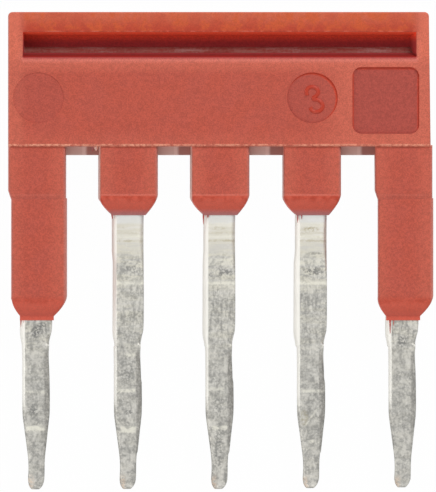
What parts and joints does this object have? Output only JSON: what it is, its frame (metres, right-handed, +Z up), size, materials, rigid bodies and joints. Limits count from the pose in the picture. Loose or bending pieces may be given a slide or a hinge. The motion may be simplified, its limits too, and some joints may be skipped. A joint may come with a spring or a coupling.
{
  "type": "terminal block jumper bar",
  "caption": "Plug-in jumper bar for rail-mounted terminal blocks: a stamped contact comb with its bar and pin roots moulded into an insulating body that has a pull-out groove.",
  "frame": {"origin": "on the floor under the middle of the part's bounding box, as it lies on its back", "axes": "+X along the bar, +Y from the pin tips towards the top of the bar, +Z up through the front face"},
  "size_m": [0.0236, 0.0266, 0.0028],
  "materials": {
    "contact_metal": "matt tin plating over copper, slightly scuffed",
    "body_plastic": "brick-red moulded polyamide with a fine matt grain"
  },
  "bodies": {
    "root": {"contact_comb": "contact_metal", "insulating_body": "body_plastic"}
  },
  "joints": []
}
